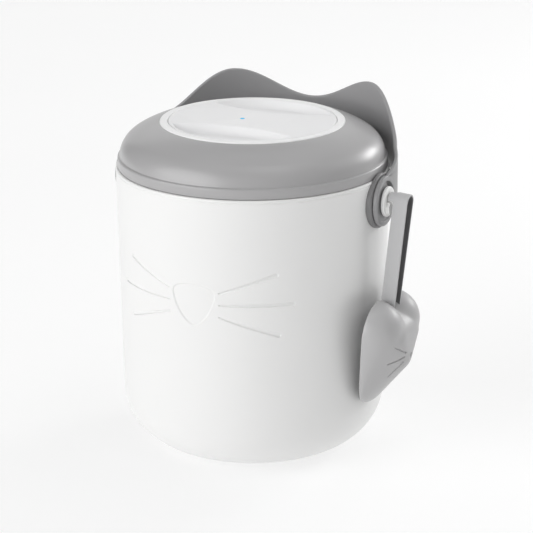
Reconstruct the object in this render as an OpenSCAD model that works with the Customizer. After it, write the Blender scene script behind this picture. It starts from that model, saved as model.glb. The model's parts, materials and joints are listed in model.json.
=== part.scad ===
// Pet food bin: a round tub with a vacuum lid, a bail handle with cat ears and a scoop on a strap.
// +Z is up, the floor is z = 0, the face with the nose is -Y and the scoop hangs on +X.

/* [Bin] */
// Radius of the flat part of the base
base_r = 63.6; // [62.6:0.2:64.6]
// Radius of the rounded base edge
base_round = 49.9; // [48:0.1:50]
// Height of the bin's top edge
bin_h = 246.7; // [246:0.1:246.8]
// Radius gained per millimetre of wall height
wall_draft = 0.0165; // [0.014:0.0005:0.017]
// Wall thickness of the bin
bin_wall = 3; // [2.8:0.1:3.2]
// Depth of the engraved nose and whiskers
engrave = 0.8; // [0.4:0.1:1.2]

/* [Lid] */
// Radius of the lid's rim
lid_r = 115; // [114.6:0.1:115.4]
// Height of the lid's rim face
rim_h = 9.2; // [8.6:0.1:9.6]
// Wall thickness of the lid
lid_wall = 2.6; // [2.2:0.1:2.8]
// Tight radius of the dome, next to the rim
dome_low_r = 24; // [23.5:0.1:24.5]
// Wide radius of the dome, next to the panel
dome_top_r = 75; // [72:0.5:78]
// Height that the lid's plug reaches below the rim
plug_h = 6.5; // [6:0.1:6.8]

/* [Top panel] */
// Radius of the opening that holds the panel and its ring
panel_hole_r = 79; // [78.8:0.1:79.2]
// Radius of the press panel
panel_r = 71.5; // [71:0.1:71.6]
// Depth of the two finger recesses
recess_depth = 7.2; // [5:0.1:7.4]
// Half width of the grip bar between the recesses, at its middle
grip_half = 27.3; // [26:0.1:30]

/* [Handle] */
// Inner radius of the handle's band
band_r = 119.2; // [119:0.1:119.4]
// Thickness of the band
band_t = 3.5; // [3:0.1:3.8]
// Height of the pivots
pivot_z = 227.5; // [227:0.1:228]
// Height of the band's low point above the pivots
valley_h = 51.5; // [48:0.5:54]
// Height of the ear tips above the pivots
ear_h = 74.2; // [70:0.2:76]
// Angle of each ear tip from the middle of the back
ear_angle = 33.5; // [32:0.5:35]
// Radius of the lug at each end
lug_r = 21.2; // [20.8:0.2:21.8]

/* [Pivots and peg] */
// Radius of the round boss on the bin
boss_r = 23.4; // [22.8:0.2:24]
// Radius of the hub
hub_r = 12.8; // [12:0.1:13.5]
// Radius of the hanging peg
peg_r = 4; // [3.6:0.1:4.2]
// Length of the hanging peg
peg_len = 11; // [9:0.5:11]

/* [Scoop and strap] */
// Width of the strap
strap_w = 12.6; // [12:0.2:13.6]
// Thickness of the strap with its lining
strap_t = 2; // [1.8:0.1:2.2]
// Distance between the strap's top and bottom bends
strap_drop = 97.3; // [96:0.1:98]
// Wall thickness of the scoop bowl
scoop_wall = 2; // [1.8:0.1:2.2]
// Depth of the scoop bowl
scoop_depth = 30.5; // [30:0.5:32]
// Lean of the strap towards the bin
strap_lean = 4.8; // [4.4:0.1:5]
// Swing of the strap and scoop towards the front
swing = 4.2; // [3.8:0.1:4.4]
// Lean of the scoop towards the bin
scoop_lean = 7.4; // [7:0.1:7.6]

/* [Hidden] */
$fn = 96;

// running clearance of a shaft in its bore, and the gap between pieces that only pass each other
fit = 0.05;
gap = 0.3;
far = 400;

white = "#f2f2f0";
grey = "#a5a4a6";
light_grey = "#b5b4b6";
dark_grey = "#4c4b4d";
off_white = "#e4e4e2";

// bin
pad_r = 58;
pad_h = 2.4;
base_lift = 0.8;
round_z = base_lift + base_round;
top_lip = 1.4;
function bin_r(z) = base_r + base_round + (z - round_z) * wall_draft;

// lid
rim_z = bin_h + gap;
rim_top = rim_z + rim_h;
rim_wall = 4;
dome_c = [lid_r - 25.57, rim_top - 2.2];
blend_angle = 57.64;
dome_top_c = dome_c - (dome_top_r - dome_low_r) * [cos(blend_angle), sin(blend_angle)];
seat_z = 277.4;
seat_t = 2;
seat_r = 73.5;
post_r = 4;
post_ring = 100;
cover_z = bin_h + gap - plug_h;
cover_t = 2.5;
cover_top = cover_z + cover_t;
cover_r = 110;
cover_wall = 3;

// top panel
panel_top = 285;
panel_t = 3.5;
panel_under = panel_top - panel_t;
recess_r = 69.5;
recess_edge_r = 124.3;
pocket_wall = 1.6;
hook_angles = [-22, 22, 158, 202];
spring_posts = [[-56, -14], [56, -14], [-56, 14], [56, 14]];
post_top = 270;
window_at = [-8.8, -1.5];

// pivots, from the bin outwards along X
boss_face = 119.1;
lug_face = 119.4;
lug_t = 3.6;
lug_floor = 122;
flat_y = boss_r + 1;
head_back = 122.3;
hub_back = 123.3;
hub_face = 126;
shoulder_r = 3;
head_r = 5.6;
head_t = 2.2;
insert_x = 109.6;
insert_len = 6.2;
stop_ring = 16;
stop_r = 1.5;
stop_deep = 1.6;

// the peg stands this far above the pivot, over a cradle shaped like a U
peg_lift = 1.8;
cradle_r = 8.6;
cradle_low = 3.1;
cradle_top = 0.8;
cradle_t = 3;

// strap and scoop
strap_x = 131.9;
neck_x = 126.5;
neck_drop = 1;
lining_t = 0.7;
loop_top_r = peg_r + 1.75;
loop_low_r = 4.5;
hang_x = 127;
scoop_at = [119.9, -9.2, 96.8];
scoop_roll = 2;
lobe_r = 24.5;
lobe_y = 19;
lobe_z = 27;

// lid contents
motor_y = 30;
motor_z = 257;
motor_r = 12;
shaft_r = 1;
cell_y = -38;
cell_r = 9.2;
cell_len = 65;
cell_z = 255;
board_z = 264;
board_t = 1.6;
board_size = [64, 40];
board_y = -5;
board_holes = [[-28, -21], [28, -21], [-28, 11], [28, 11]];
valve_at = [45, motor_y];
socket_x = 75;
flap_axis_x = 84;

// the outer tangent points of circles a and b on one side of the line from a to b
function tangent_points(a, ra, b, rb, side) =
    let (v = b - a, turn = atan2(v.y, v.x) + side * acos((ra - rb) / norm(v)))
    [a + ra * [cos(turn), sin(turn)], b + rb * [cos(turn), sin(turn)]];

// a cylinder along +X that starts at x
module rod_x(r, x, len) {
    translate([x, 0, 0]) rotate([0, 90, 0]) cylinder(r = r, h = len);
}

// the half plane profile of the tub, set in by inset
module tub_profile(inset, top) {
    translate([base_r, round_z]) circle(base_round - inset);
    translate([0, base_lift + inset]) square([base_r, base_round]);
    polygon([[0, round_z], [bin_r(round_z) - inset, round_z], [bin_r(top) - inset, top], [0, top]]);
}

module tub_outline() {
    tub_profile(0, bin_h - top_lip);
    translate([bin_r(bin_h) - top_lip, bin_h - top_lip]) circle(top_lip);
    translate([0, bin_h - 2 * top_lip]) square([bin_r(bin_h) - top_lip, 2 * top_lip]);
}

// one whisker groove: near and far_end are [angle from the middle of the face, height]
module whisker(near, far_end) {
    span = far_end[0] - near[0];
    middle = (near[0] + far_end[0]) / 2;
    height = (near[1] + far_end[1]) / 2;
    tilt = atan2(far_end[1] - near[1], 2 * bin_r(height) * sin(span / 2));
    rotate([0, 0, middle - 90]) translate([0, 0, height]) rotate([tilt, 0, 0]) rotate([0, 0, -span / 2])
        rotate_extrude(angle = span) translate([bin_r(height), 0]) circle(engrave);
}

module whiskers() {
    whisker([11.5, 166.8], [35, 182.9]);
    whisker([11.5, 156.6], [42, 157.3]);
    whisker([11.5, 146], [36, 130.8]);
}

// a triangle with three bulging sides, sunk into the front of the tub
module nose() {
    side_r = 42;
    intersection() {
        rotate([90, 0, 0]) linear_extrude(150) intersection() {
            translate([0, 123.2]) circle(50);
            translate([21.5, 170.8]) circle(side_r);
            translate([-21.5, 170.8]) circle(side_r);
        }
        rotate_extrude() translate([bin_r(155) - engrave, 110]) square([5, 90]);
    }
}

module bin_shell() {
    color(white) difference() {
        union() {
            rotate_extrude() difference() {
                tub_outline();
                tub_profile(bin_wall, bin_h + 1);
            }
            for (side = [0, 180]) rotate([0, 0, side]) intersection() {
                translate([0, 0, pivot_z]) rod_x(9, 106, 20);
                rotate_extrude() tub_profile(1, bin_h);
            }
        }
        translate([0, 0, -1]) cylinder(r = pad_r + 0.2, h = pad_h + 1);
        for (side = [0, 180]) rotate([0, 0, side]) translate([0, 0, pivot_z]) rod_x(3.5, insert_x, 20);
        nose();
        whiskers();
        mirror([1, 0, 0]) whiskers();
    }
}

module base_pad() {
    color(dark_grey) difference() {
        cylinder(r = pad_r, h = pad_h);
        translate([0, 0, -1]) rotate_extrude() translate([pad_r - 10, 0]) square([3, 1.6]);
    }
}

// grey round that backs the lug, with the groove for the lug's stop
module pivot_boss() {
    color(grey) difference() {
        translate([0, 0, pivot_z]) rod_x(boss_r, 100, boss_face - 100);
        rotate_extrude($fn = 720) tub_profile(0, bin_h + 30);
        translate([0, 0, pivot_z]) rod_x(shoulder_r + fit, 100, 30);
        translate([boss_face - stop_deep, 0, pivot_z]) rotate([90, 0, 90])
            rotate([0, 0, -6]) rotate_extrude(angle = 192)
                translate([stop_ring - stop_r - gap, 0]) square([2 * (stop_r + gap), stop_deep + 1]);
    }
}

module pivot_boss_right() {
    pivot_boss();
}

module pivot_boss_left() {
    mirror([1, 0, 0]) pivot_boss();
}

module both_sides() {
    children();
    mirror([1, 0, 0]) children();
}

module pivot_inserts() {
    color("#c8a24a") both_sides() translate([0, 0, pivot_z]) difference() {
        rod_x(3.5, insert_x, insert_len);
        rod_x(2 + fit, insert_x - 1, insert_len + 2);
    }
}

module pivot_screws() {
    color("#9a9da1") both_sides() translate([0, 0, pivot_z]) {
        rod_x(2, insert_x + 0.4, insert_len);
        rod_x(shoulder_r, insert_x + insert_len, head_back - insert_x - insert_len);
        rod_x(head_r, head_back, head_t);
    }
}

// white round over the screw's head, with play beyond the end of the head
module hub(play) {
    edge = 1.2;
    depth = head_back + head_t + play - hub_back;
    translate([0, 0, pivot_z]) difference() {
        rotate([0, 90, 0]) rotate_extrude() {
            translate([0, hub_back]) square([hub_r, hub_face - hub_back - edge]);
            translate([0, hub_back]) square([hub_r - edge, hub_face - hub_back]);
            translate([hub_r - edge, hub_face - edge]) circle(edge);
        }
        rod_x(head_r + fit, hub_back - 1, depth + 1);
    }
}

module hub_cap() {
    color(off_white) mirror([1, 0, 0]) hub(fit);
}

// the right hub turns on the screw's head and carries the peg and its cradle
module hanger_peg() {
    color(off_white) {
        hub(0.2);
        translate([0, 0, pivot_z + peg_lift]) rod_x(peg_r, hub_face, peg_len);
        difference() {
            cradle(cradle_r, hub_face, cradle_t);
            for (x = [0.7, 1.6]) difference() {
                cradle(cradle_r + 1, hub_face + x, 0.4);
                cradle(cradle_r - 0.4, hub_face + x - 0.1, 0.6);
            }
        }
    }
}

// block along +X with the outline of a U
module cradle(r, x, len) {
    translate([x, 0, pivot_z]) rotate([90, 0, 90]) linear_extrude(len) {
        intersection() {
            translate([0, -cradle_low]) circle(r);
            translate([-r - 1, -cradle_low - r - 1]) square([2 * r + 2, r + 1.1]);
        }
        translate([-r, -cradle_low]) square([2 * r, cradle_low + cradle_top]);
    }
}

// block along +X with the outline of the strap's loop, set out by grow from its inner face
// its straight sides lie a hair inside the two bends
module loop_block(grow, x, width) {
    hair = 0.004;
    top_r = loop_top_r + grow;
    low_r = loop_low_r + grow;
    front = tangent_points([0, 0], top_r - hair, [0, -strap_drop], low_r - hair, -1);
    back = tangent_points([0, 0], top_r - hair, [0, -strap_drop], low_r - hair, 1);
    rod_x(top_r, x, width);
    translate([0, 0, -strap_drop]) rod_x(low_r, x, width);
    translate([x, 0, 0]) rotate([90, 0, 90]) linear_extrude(width)
        polygon([front[0], front[1], back[1], back[0]]);
}

module loop_band(from, to, x, width) {
    difference() {
        loop_block(to, x, width);
        loop_block(from, x - 1, width + 2);
    }
}

// the neck at the top of the loop, which reaches the hub and is a little lower than the crown
module neck() {
    intersection() {
        translate([0, 0, -neck_drop]) loop_band(0, strap_t, neck_x, strap_x - neck_x);
        translate([neck_x, -20, 0.2]) cube([20, 40, 20]);
    }
}

module hang() {
    translate([hang_x, 0, pivot_z + peg_lift]) rotate([-swing, strap_lean, 0])
        translate([-hang_x, 0, 0]) children();
}

module strap_outer() {
    color(light_grey) hang() {
        loop_band(lining_t, strap_t, strap_x, strap_w);
        neck();
    }
}

module strap_lining() {
    color(dark_grey) hang() loop_band(0, lining_t, strap_x, strap_w);
}

module egg(at, radii) {
    translate(at) scale(radii) sphere(1, $fn = 28);
}

// one half of the heart: a lobe, the belly and the chin
module heart_half(side, inset) {
    hull() {
        egg([0, side * lobe_y, lobe_z], [scoop_depth - 4.5 - inset, lobe_r - inset, lobe_r - inset]);
        egg([0, 0, 3], [scoop_depth - inset, 25 - inset, 22 - inset]);
        egg([0, 0, -26], [9 - inset, 31 - inset, 19 - inset]);
    }
}

// the middle of the heart, which fills the valley between the lobes below the notch
module heart_core(inset) {
    hull() {
        for (side = [-1, 1]) egg([0, side * 12, 22], [29 - inset, 23 - inset, 20 - inset]);
        egg([0, 0, 3], [scoop_depth - inset, 25 - inset, 22 - inset]);
    }
}

module heart(inset) {
    heart_half(-1, inset);
    heart_half(1, inset);
    heart_core(inset);
}

module scoop_bowl() {
    color(light_grey) difference() {
        translate(scoop_at) rotate([-scoop_roll, scoop_lean, 0]) difference() {
            heart(0);
            heart(scoop_wall);
            translate([-80, -60, -80]) cube([80, 120, 160]);
        }
        hang() difference() {
            loop_band(-gap, strap_t + gap, strap_x - gap, strap_w + 2 * gap);
            translate([0, -30, -60]) cube([200, 60, 120]);
        }
    }
}

// height of the band's top edge above the pivots, at an angle from the middle of the back
function band_top(a) =
    a < ear_angle ? valley_h + (ear_h - valley_h) * (1 - cos(180 * a / ear_angle)) / 2
    : a < ear_angle + 27.5 ? ear_h - 34.5 * (1 - cos(180 * (a - ear_angle) / 34)) / 2
    : max(42.7 - 0.83 * (a - ear_angle - 27.5), 22.4);

// height of its bottom edge
function band_low(a) = a < 32 ? 18 : 18 - 24 * (1 - cos(180 * (a - 32) / 58)) / 2;

module lug() {
    translate([0, 0, pivot_z]) {
        difference() {
            rod_x(lug_r, lug_face, lug_t);
            rod_x(lug_r - 4.2, lug_floor, lug_t);
            rod_x(shoulder_r + fit, lug_face - 1, lug_t + 2);
        }
        translate([0, stop_ring, 0]) rod_x(stop_r, lug_face - stop_deep + gap, stop_deep);
    }
}

// a circle whose sides run out straight to the planes x = face and x = -face
module flattened_circle(r, face) {
    span = norm([face, flat_y]);
    tangent = atan2(flat_y, face) + acos(r / span);
    circle(r);
    both_sides() polygon([[0, 0], [face, 0], [face, flat_y], [r * cos(tangent), r * sin(tangent)]]);
}

module handle() {
    outer = band_r + band_t;
    edge = [for (a = [-90:3:90]) a];
    outline = concat(
        [for (a = edge) [(outer + 1) * sin(a), pivot_z + band_top(abs(a))]],
        [for (a = edge) [-(outer + 1) * sin(a), pivot_z + band_low(abs(a))]]
    );
    color(grey) {
        difference() {
            intersection() {
                translate([0, 0, pivot_z - 30]) linear_extrude(120) difference() {
                    flattened_circle(outer, lug_face + lug_t);
                    flattened_circle(band_r, lug_face);
                }
                translate([0, 150, 0]) rotate([90, 0, 0]) linear_extrude(150) polygon(outline);
            }
            both_sides() translate([0, 0, pivot_z]) rod_x(lug_r - 0.5, lug_face - 10, 30);
        }
        lug();
        mirror([1, 0, 0]) lug();
    }
}

// the half plane inside the dome's two arcs, set in by inset
module dome_profile(inset) {
    wedge = [for (a = [blend_angle, 90]) dome_top_c + far * [cos(a), sin(a)]];
    translate(dome_c) circle(dome_low_r - inset);
    intersection() {
        translate(dome_top_c) circle(dome_top_r - inset);
        polygon([dome_top_c, wedge[0], wedge[1]]);
    }
    translate([0, cover_z]) square([dome_c.x + dome_low_r - inset - 0.01, dome_c.y - cover_z]);
    translate([0, cover_z]) square([dome_top_c.x + 0.01, dome_top_c.y + dome_top_r - inset - cover_z]);
    polygon([[0, cover_z], [dome_c.x, cover_z], dome_c, dome_top_c + [0, 20], [0, dome_top_c.y + 20]]);
}

module dome_wall() {
    difference() {
        intersection() {
            dome_profile(0);
            translate([panel_hole_r, rim_top - 2]) square([60, 60]);
        }
        dome_profile(lid_wall);
    }
}

module lid_rim() {
    round_edge = 1.2;
    translate([lid_r - rim_wall, rim_z]) square([rim_wall, rim_h - round_edge]);
    translate([lid_r - rim_wall, rim_z]) square([rim_wall - round_edge, rim_h]);
    translate([lid_r - round_edge, rim_top - round_edge]) circle(round_edge);
}

// the step inside the opening that the panel ring sits on
module panel_seat() {
    translate([seat_r, seat_z]) square([panel_hole_r + 2.2 - seat_r, seat_t]);
    intersection() {
        dome_profile(0.5);
        translate([panel_hole_r, seat_z]) square([2.2, 12]);
    }
}

module at_posts() {
    for (a = [45:90:315]) rotate([0, 0, a]) translate([post_ring, 0, 0]) children();
}

module lid_shell() {
    color(grey) difference() {
        union() {
            rotate_extrude() {
                dome_wall();
                lid_rim();
                panel_seat();
            }
            intersection() {
                at_posts() translate([0, 0, cover_top]) cylinder(r = post_r, h = 40);
                rotate_extrude() dome_profile(1);
            }
        }
        at_posts() translate([0, 0, cover_top - 1]) cylinder(r = 1.25, h = 13);
    }
}

module panel_ring() {
    inner = panel_r + 0.4;
    width = panel_hole_r - 0.2 - inner;
    low = seat_z + seat_t;
    high = panel_top - low;
    color(white) rotate_extrude() {
        translate([inner, low]) square([width, high - 1]);
        translate([inner + 1, low]) square([width - 2, high]);
        for (x = [inner + 1, inner + width - 1]) translate([x, low + high - 1]) circle(1);
    }
}

// lens between the rim circle and the hollow side of the grip bar
module recess(grow) {
    intersection() {
        circle(recess_r + grow);
        translate([0, grip_half + recess_edge_r]) circle(recess_edge_r + grow);
    }
}

module press_panel() {
    pocket_z = panel_top - recess_depth;
    color(white) {
        difference() {
            union() {
                translate([0, 0, panel_under]) cylinder(r = panel_r, h = panel_t);
                for (side = [0, 180]) rotate([0, 0, side]) translate([0, 0, pocket_z - pocket_wall])
                    linear_extrude(panel_under - pocket_z + pocket_wall + 0.5) recess(pocket_wall);
            }
            for (side = [0, 180]) rotate([0, 0, side]) translate([0, 0, pocket_z])
                linear_extrude(20) recess(0);
            translate([window_at.x, window_at.y, panel_under - 1]) cylinder(r = 2, h = 10);
        }
        translate([0, board_y, 273.3]) cylinder(r = 3, h = panel_under - 273.3 + 0.5);
        for (a = hook_angles) rotate([0, 0, a]) {
            translate([panel_r - 2.5, -4, 274.4]) cube([2.2, 8, panel_under - 274.4 + 0.5]);
            translate([panel_r - 2.5, -4, 274.4]) cube([6, 8, 2.2]);
        }
    }
}

module light_window() {
    color("#3fb4e8") translate([window_at.x, window_at.y, 268.6]) cylinder(r = 2, h = panel_top - 268.6);
}

module inner_cover() {
    color(white) difference() {
        union() {
            translate([0, 0, cover_z]) cylinder(r = cover_r, h = cover_t);
            translate([0, 0, cover_z]) cylinder(r = cover_r + 2.6, h = 1.2);
            translate([0, 0, cover_z]) rotate_extrude()
                translate([cover_r - cover_wall, 0]) square([cover_wall, plug_h + 4]);
            for (p = spring_posts) translate([p.x, p.y, cover_top - 0.5]) {
                cylinder(r = 4, h = post_top - cover_top + 0.5);
                cylinder(r = 1.8, h = post_top - cover_top + 4.5);
            }
            for (p = board_holes) translate([p.x, p.y, cover_top - 0.5])
                cylinder(r = 3, h = board_z - cover_top + 0.5);
        }
        at_posts() translate([0, 0, cover_z - 1]) cylinder(r = 1.7, h = 10);
        translate([valve_at.x, valve_at.y, cover_z - 1]) cylinder(r = 6.1, h = 10);
        translate([socket_x - 2, -4.8, cover_z - 1]) cube([4, 9.6, 10]);
        for (p = board_holes) translate([p.x, p.y, board_z - 8]) cylinder(r = 1.05, h = 10);
    }
}

// soft ring with two lips that seals against the inside of the bin
module gasket() {
    color(light_grey) translate([0, 0, cover_z + 1.3]) rotate_extrude() {
        translate([cover_r + 0.05, 0]) square([2.2, 4.4]);
        for (z = [1, 3.4]) translate([cover_r + 2.3, z]) circle(0.9);
    }
}

module cover_screws() {
    color("#9a9da1") at_posts() translate([0, 0, cover_z - 1.4]) difference() {
        union() {
            cylinder(r = 3, h = 1.4);
            cylinder(r = 1.2, h = 14);
        }
        translate([-0.4, -2, -1]) cube([0.8, 4, 1.6]);
        translate([-2, -0.4, -1]) cube([4, 0.8, 1.6]);
    }
}

module pump_motor() {
    color("#8f9296") translate([0, motor_y, motor_z]) difference() {
        union() {
            rod_x(motor_r, -40, 28);
            rod_x(3, -43, 3);
            rod_x(3.5, -12, 1.5);
        }
        rod_x(shaft_r + fit, -24, 20);
    }
}

// motor shaft with the eccentric that works the pump's diaphragm
module motor_rotor() {
    color("#c9ccd0") translate([0, motor_y, motor_z]) {
        rod_x(shaft_r, -23.5, 24);
        translate([0, 0, 1.5]) rod_x(4, -6, 6);
    }
}

module pump_head() {
    color(dark_grey) translate([0, motor_y, 0]) difference() {
        union() {
            translate([-9.8, -12, cover_top]) cube([25, 24, 26]);
            translate([0, 0, 253]) rod_x(1.45, 15, 6);
        }
        translate([0, 0, motor_z]) {
            rod_x(3, -12, 10);
            rod_x(8, -7.8, 10);
        }
    }
}

module pump_bracket() {
    color("#8f9296") difference() {
        translate([-34, motor_y - 15, cover_top]) cube([14, 30, 10]);
        translate([0, motor_y, motor_z]) rod_x(motor_r + fit, -40, 30);
    }
}

// short hose from the pump's nozzle down to the valve
module pump_hose() {
    bend = 8;
    color("#d8d8d6") translate([0, valve_at.y, 0]) difference() {
        union() {
            translate([0, 0, 253]) rod_x(2.5, 15.4, valve_at.x - bend - 15.4);
            translate([valve_at.x - bend, 0, 253 - bend]) rotate([90, 0, 0]) rotate_extrude(angle = 90)
                translate([bend, 0]) circle(2.5);
        }
        translate([0, 0, 253]) rod_x(1.5, 14, valve_at.x - bend - 14);
        translate([valve_at.x - bend, 0, 253 - bend]) rotate([90, 0, 0]) rotate_extrude(angle = 90)
            translate([bend, 0]) circle(1.5);
    }
}

module check_valve() {
    color("#c96f4a") translate([valve_at.x, valve_at.y, 0]) difference() {
        union() {
            translate([0, 0, cover_z]) cylinder(r = 6, h = 4);
            translate([0, 0, cover_z + 4]) cylinder(r = 3, h = 245 - cover_z - 4);
        }
        translate([0, 0, cover_z - 1]) cylinder(r = 1.5, h = 20);
    }
}

module filter_disc() {
    color("#dcdcd8") translate([valve_at.x, valve_at.y, cover_z - 1.5]) cylinder(r = 9, h = 1.5);
}

module battery_cell() {
    color("#3f7fae") translate([0, cell_y, cell_z]) {
        rod_x(cell_r, -cell_len / 2, cell_len - 1.5);
        rod_x(3, cell_len / 2 - 1.5, 1.5);
    }
}

module battery_cradle() {
    length = cell_len + 5;
    color(dark_grey) difference() {
        translate([-length / 2, cell_y - 11, cover_top]) cube([length, 22, 13]);
        translate([0, cell_y, cell_z]) rod_x(cell_r + fit, -cell_len / 2 - 0.2, cell_len + 0.4);
        translate([-20, cell_y - 15, cover_top + 2]) cube([40, 30, 20]);
    }
}

module circuit_board() {
    color("#2f6b4a") difference() {
        translate([-board_size.x / 2, board_y - board_size.y / 2, board_z])
            cube([board_size.x, board_size.y, board_t]);
        for (p = board_holes) translate([p.x, p.y, board_z - 1]) cylinder(r = 1.3, h = 5);
    }
}

module board_screws() {
    color("#9a9da1") for (p = board_holes) translate([p.x, p.y, board_z - 6]) {
        cylinder(r = 1, h = 7.6);
        translate([0, 0, 6 + board_t]) cylinder(r = 2, h = 1.3);
    }
}

module switch_body() {
    color("#2b2b2d") difference() {
        translate([-3.5, board_y - 3.5, board_z + board_t]) cube([7, 7, 4]);
        translate([0, board_y, board_z + board_t + 0.3]) cylinder(r = 1.75 + fit, h = 10);
    }
}

module switch_cap() {
    color("#d06a4f") translate([0, board_y, board_z + board_t + 1.5]) cylinder(r = 1.75, h = 5.9);
}

module light_source() {
    color("#9fd8f2") translate([window_at.x - 1.5, window_at.y - 1.5, board_z + board_t]) cube([3, 3, 1.2]);
}

module charge_socket() {
    color("#b9bcc0") difference() {
        translate([socket_x - 1.7, -4.6, cover_z + 0.4]) cube([3.4, 9.2, 7.5]);
        translate([socket_x - 1.3, -4.2, cover_z]) cube([2.6, 8.4, 6.5]);
        translate([socket_x - 1.3, -4.2, cover_z - 2]) cube([2.6, 8.4, 4]);
    }
    color("#2b2b2d") translate([socket_x - 0.35, -3.2, cover_z + 1.5]) cube([0.7, 6.4, 6]);
}

// soft cover of the socket, on a hinge along its outer edge
module port_flap() {
    color(light_grey) translate([0, 0, cover_z - 1.8]) {
        translate([flap_axis_x - 16, -7, 0]) cube([16, 14, 1.5]);
        translate([flap_axis_x - 16, -3, -0.8]) cube([2, 6, 0.8]);
        translate([flap_axis_x, -7, 0.75]) rotate([-90, 0, 0]) cylinder(r = 0.75, h = 14);
    }
}

// one compression spring as a swept tube of six turns
module spring(r, wire, height, turns) {
    sides = 8;
    steps = turns * 12;
    points = [for (i = [0:steps], j = [0:sides - 1])
        let (a = 360 * turns * i / steps, b = 360 * j / sides)
        [(r + wire * cos(b)) * cos(a), (r + wire * cos(b)) * sin(a),
         wire * (1 + sin(b)) + (height - 2 * wire) * i / steps]];
    side_faces = [for (i = [0:steps - 1], j = [0:sides - 1]) let (k = (j + 1) % sides)
        [i * sides + j, (i + 1) * sides + j, (i + 1) * sides + k, i * sides + k]];
    ends = [[for (j = [0:sides - 1]) j], [for (j = [sides - 1:-1:0]) steps * sides + j]];
    polyhedron(points, concat(side_faces, ends));
}

module panel_springs() {
    color("#b9bcc0") for (p = spring_posts) translate([p.x, p.y, post_top])
        spring(2.9, 0.35, panel_under - post_top - 0.05, 6);
}

bin_shell();
base_pad();
pivot_boss_left();
pivot_boss_right();
pivot_inserts();
pivot_screws();
hub_cap();
hanger_peg();
strap_outer();
strap_lining();
scoop_bowl();
handle();
lid_shell();
panel_ring();
inner_cover();
gasket();
cover_screws();
pump_motor();
motor_rotor();
pump_head();
pump_bracket();
pump_hose();
check_valve();
filter_disc();
battery_cell();
battery_cradle();
circuit_board();
board_screws();
switch_body();
switch_cap();
light_source();
charge_socket();
port_flap();
panel_springs();
press_panel();
light_window();
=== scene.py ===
"""Looks of the pet food bin: tub, vacuum lid, cat-ear handle, and a scoop hung on a strap.

Every length is in millimetres and turned into metres when a mesh is made. +Z is up, the engraved
face is -Y and the scoop hangs on +X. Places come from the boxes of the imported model's nodes.
"""

import json

import bmesh
import bpy
import numpy as np
from math import acos, asin, atan2, cos, degrees, exp, log, pi, radians, sin, sqrt, tan
from mathutils import Matrix, Vector
from mathutils.bvhtree import BVHTree


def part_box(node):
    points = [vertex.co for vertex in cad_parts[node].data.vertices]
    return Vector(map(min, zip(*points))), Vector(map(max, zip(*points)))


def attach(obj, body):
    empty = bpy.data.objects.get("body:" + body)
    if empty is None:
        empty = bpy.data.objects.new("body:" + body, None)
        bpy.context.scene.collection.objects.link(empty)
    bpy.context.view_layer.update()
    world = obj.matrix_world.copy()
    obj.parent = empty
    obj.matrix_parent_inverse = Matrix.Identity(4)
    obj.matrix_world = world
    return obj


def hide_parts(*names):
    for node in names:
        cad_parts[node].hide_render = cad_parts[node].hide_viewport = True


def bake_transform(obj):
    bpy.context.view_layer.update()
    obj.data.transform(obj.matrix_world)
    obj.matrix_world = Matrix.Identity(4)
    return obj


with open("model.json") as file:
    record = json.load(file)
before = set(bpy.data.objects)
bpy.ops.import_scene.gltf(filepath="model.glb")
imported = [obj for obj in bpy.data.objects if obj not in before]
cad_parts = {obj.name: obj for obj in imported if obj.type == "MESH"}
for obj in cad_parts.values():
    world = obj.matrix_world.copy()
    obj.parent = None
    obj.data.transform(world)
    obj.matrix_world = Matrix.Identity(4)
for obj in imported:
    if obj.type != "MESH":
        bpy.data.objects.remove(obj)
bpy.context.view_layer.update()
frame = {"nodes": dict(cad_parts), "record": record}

MM = 0.001
CAMERA_AZIMUTH = -64.34  # degrees from +X towards +Y
SUN_WIDTH = radians(60)


# ---------------------------------------------------------------- camera and lamps


def add_camera(place, direction, lens, roll):
    data = bpy.data.cameras.new("camera")
    data.lens = lens
    data.sensor_width = 36
    data.clip_end = 50
    camera = bpy.data.objects.new("camera", data)
    turn = Vector(direction).to_track_quat("-Z", "Y").to_matrix().to_4x4()
    camera.matrix_world = Matrix.Translation(place) @ turn @ Matrix.Rotation(roll, 4, "Z")
    bpy.context.scene.collection.objects.link(camera)
    bpy.context.scene.camera = camera


def add_area_light(name, place, target, size, power):
    """A soft rectangle of light, aimed at a point."""
    data = bpy.data.lights.new(name, "AREA")
    data.shape = "RECTANGLE"
    data.size, data.size_y = size
    data.energy = power
    light = bpy.data.objects.new(name, data)
    light.location = place
    aim = Vector(target) - Vector(place)
    light.rotation_euler = aim.to_track_quat("-Z", "Y").to_euler()
    bpy.context.scene.collection.objects.link(light)


def add_soft_light(name, turn, height, strength):
    """A wide lamp at infinity: turned anticlockwise from the camera, and above the floor."""
    data = bpy.data.lights.new(name, "SUN")
    data.energy = strength
    data.angle = SUN_WIDTH
    light = bpy.data.objects.new(name, data)
    around, up = radians(CAMERA_AZIMUTH + turn), radians(height)
    towards = Vector((cos(around) * cos(up), sin(around) * cos(up), sin(up)))
    light.rotation_euler = (-towards).to_track_quat("-Z", "Y").to_euler()
    bpy.context.scene.collection.objects.link(light)


add_camera((0.784, -1.632, 0.744), (-0.4063, 0.8595, -0.3100), 148.6, radians(-0.244))


# ---------------------------------------------------------------- materials


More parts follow.
